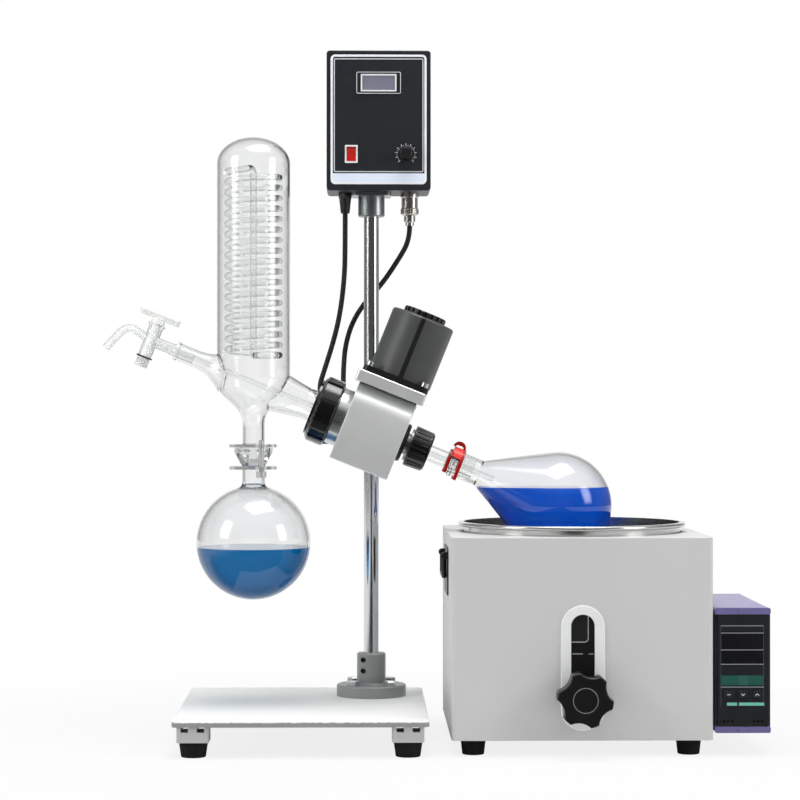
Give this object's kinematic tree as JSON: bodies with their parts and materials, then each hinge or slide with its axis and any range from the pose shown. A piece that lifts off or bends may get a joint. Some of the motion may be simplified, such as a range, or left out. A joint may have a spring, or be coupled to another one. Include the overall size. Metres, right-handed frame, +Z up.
{
  "type": "rotary evaporator",
  "caption": "Bench rotary evaporator: tilting motor head on a column, glass condenser, receiver and pear flask over a lifting heated bath.",
  "frame": {"origin": "middle of the whole object's footprint, on the table", "axes": "+X to the viewer's right, towards the bath; +Y away from the viewer; +Z up"},
  "size_m": [0.744, 0.348, 0.799],
  "materials": {
    "white_paint": "satin powder coat",
    "grey_paint": "satin enamel",
    "bath_paint": "satin powder coat",
    "cast_grey": "sand-cast, painted grey",
    "black_rubber": "matte",
    "zinc_steel": "zinc plated",
    "polished_column": "polished",
    "black_paint": "fine textured",
    "black_plastic": "moulded",
    "gloss_black": "glossy moulded",
    "red_plastic": "glossy moulded",
    "white_plastic": "moulded",
    "nickel": "nickel plated",
    "stainless": "drawn stainless",
    "aluminium": "turned",
    "gear_steel": "oiled",
    "brass": "turned",
    "clear_glass": "clear borosilicate",
    "ptfe": "white, waxy",
    "purple_plastic": "moulded",
    "key_plastic": "moulded"
  },
  "bodies": {
    "stand": {"base_plate": "white_paint", "foot_blocks": "black_plastic", "base_feet": "black_rubber", "column_flange": "cast_grey", "flange_bolts": "zinc_steel", "column": "polished_column", "box_socket": "aluminium", "control_box": "black_paint", "control_panel": "black_paint", "speed_display": "gloss_black", "switch_frame": "white_plastic", "cable_gland": "black_plastic", "lead_connector": "nickel", "left_lead": "black_rubber", "right_lead": "black_rubber", "bath_case": "bath_paint", "bath_top": "bath_paint", "bath_feet": "black_rubber", "slot_trim": "white_plastic", "handle_plate": "black_plastic", "controller_bracket": "bath_paint", "controller_case": "purple_plastic", "controller_face": "gloss_black"},
    "power_rocker": {"power_rocker": "red_plastic"},
    "speed_knob": {"speed_knob": "black_plastic"},
    "key_set": {"key_set": "key_plastic"},
    "key_down": {"key_down": "key_plastic"},
    "key_up": {"key_up": "key_plastic"},
    "handle_bail": {"handle_bail": "black_plastic"},
    "pot": {"bath_pot": "stainless", "pot_carrier": "black_paint", "heater": "aluminium"},
    "bath_knob": {"bath_knob": "black_plastic"},
    "slider": {"clamp_bush": "brass"},
    "clamp": {"column_clamp": "black_paint"},
    "height_lever": {"height_lever": "black_plastic"},
    "tilt_lever": {"tilt_lever": "black_plastic"},
    "head": {"head_housing": "grey_paint", "motor_plate": "grey_paint", "motor_body": "black_paint", "motor_cap": "black_plastic", "spindle_bearings": "gear_steel", "vacuum_seal": "black_rubber", "rear_collar": "aluminium", "front_cap": "black_plastic", "condenser_body": "clear_glass", "condenser_coil": "clear_glass", "feed_tube": "ptfe", "stopcock_body": "clear_glass", "receiver_clamp": "stainless", "receiver_flask": "clear_glass"},
    "condenser_nut": {"condenser_nut": "gloss_black"},
    "rotor": {"spindle": "stainless", "drive_gear": "gear_steel", "vapour_tube": "clear_glass", "flask_nut": "gloss_black", "joint_clip": "red_plastic", "evaporating_flask": "clear_glass"},
    "motor_rotor": {"motor_shaft": "gear_steel"},
    "stopcock_key": {"stopcock_key": "ptfe"}
  },
  "joints": [
    {"name": "head_height", "type": "slide", "parent": "stand", "child": "slider", "axis": [0, 0, 1], "range_m": [-0.03, 0.12], "deforming": ["left_lead", "right_lead"]},
    {"name": "head_swing", "type": "hinge", "parent": "slider", "child": "clamp", "pos_m": [-0.062, 0.094, 0.354], "axis": [0, 0, 1], "range_deg": [-6, 6]},
    {"name": "head_tilt", "type": "hinge", "parent": "clamp", "child": "head", "pos_m": [-0.0605, 0.004, 0.3547], "axis": [0, 1, 0], "range_deg": [-12, 8]},
    {"name": "flask_spin", "type": "hinge", "parent": "head", "child": "rotor", "pos_m": [-0.0605, 0.004, 0.3547], "axis": [0.9272, 0, -0.3746], "continuous": true},
    {"name": "motor_spin", "type": "hinge", "parent": "head", "child": "motor_rotor", "pos_m": [-0.05494, 0.004, 0.35245], "axis": [0.3746, 0, 0.9272], "continuous": true},
    {"name": "condenser_nut_turn", "type": "hinge", "parent": "head", "child": "condenser_nut", "pos_m": [-0.11613, 0.004, 0.37718], "axis": [0.9272, 0, -0.3746], "range_deg": [-90, 90]},
    {"name": "stopcock_turn", "type": "hinge", "parent": "head", "child": "stopcock_key", "pos_m": [-0.31548, 0.004, 0.45772], "axis": [0.3746, 0, 0.9272], "continuous": true},
    {"name": "bath_lift", "type": "slide", "parent": "stand", "child": "pot", "axis": [0, 0, 1], "range_m": [0, 0.035]},
    {"name": "bath_knob_turn", "type": "hinge", "parent": "pot", "child": "bath_knob", "pos_m": [0.1675, -0.16, 0.065], "axis": [0, -1, 0], "range_deg": [-180, 180]},
    {"name": "power_rocker_tip", "type": "hinge", "parent": "stand", "child": "power_rocker", "pos_m": [-0.0857, 0.055, 0.6775], "axis": [1, 0, 0], "range_deg": [-20, 0]},
    {"name": "speed_knob_turn", "type": "hinge", "parent": "stand", "child": "speed_knob", "pos_m": [-0.0217, 0.05, 0.6775], "axis": [0, -1, 0], "range_deg": [-270, 0]},
    {"name": "key_set_press", "type": "slide", "parent": "stand", "child": "key_set", "axis": [0, 1, 0], "range_m": [0, 0.001], "stiffness_N_per_m": 400},
    {"name": "key_down_press", "type": "slide", "parent": "stand", "child": "key_down", "axis": [0, 1, 0], "range_m": [0, 0.001], "stiffness_N_per_m": 400},
    {"name": "key_up_press", "type": "slide", "parent": "stand", "child": "key_up", "axis": [0, 1, 0], "range_m": [0, 0.001], "stiffness_N_per_m": 400},
    {"name": "handle_swing", "type": "hinge", "parent": "stand", "child": "handle_bail", "pos_m": [0.02, 0.004, 0.213], "axis": [0, 1, 0], "range_deg": [0, 90]},
    {"name": "tilt_lever_turn", "type": "hinge", "parent": "clamp", "child": "tilt_lever", "pos_m": [-0.0205, 0.063, 0.3547], "axis": [1, 0, 0], "range_deg": [-60, 20]},
    {"name": "height_lever_turn", "type": "hinge", "parent": "clamp", "child": "height_lever", "pos_m": [-0.062, 0.12, 0.328], "axis": [0, 1, 0], "range_deg": [-40, 40]}
  ],
  "couplings": [
    {"joint": "motor_spin", "follows": "flask_spin", "ratio": 2.6667}
  ]
}
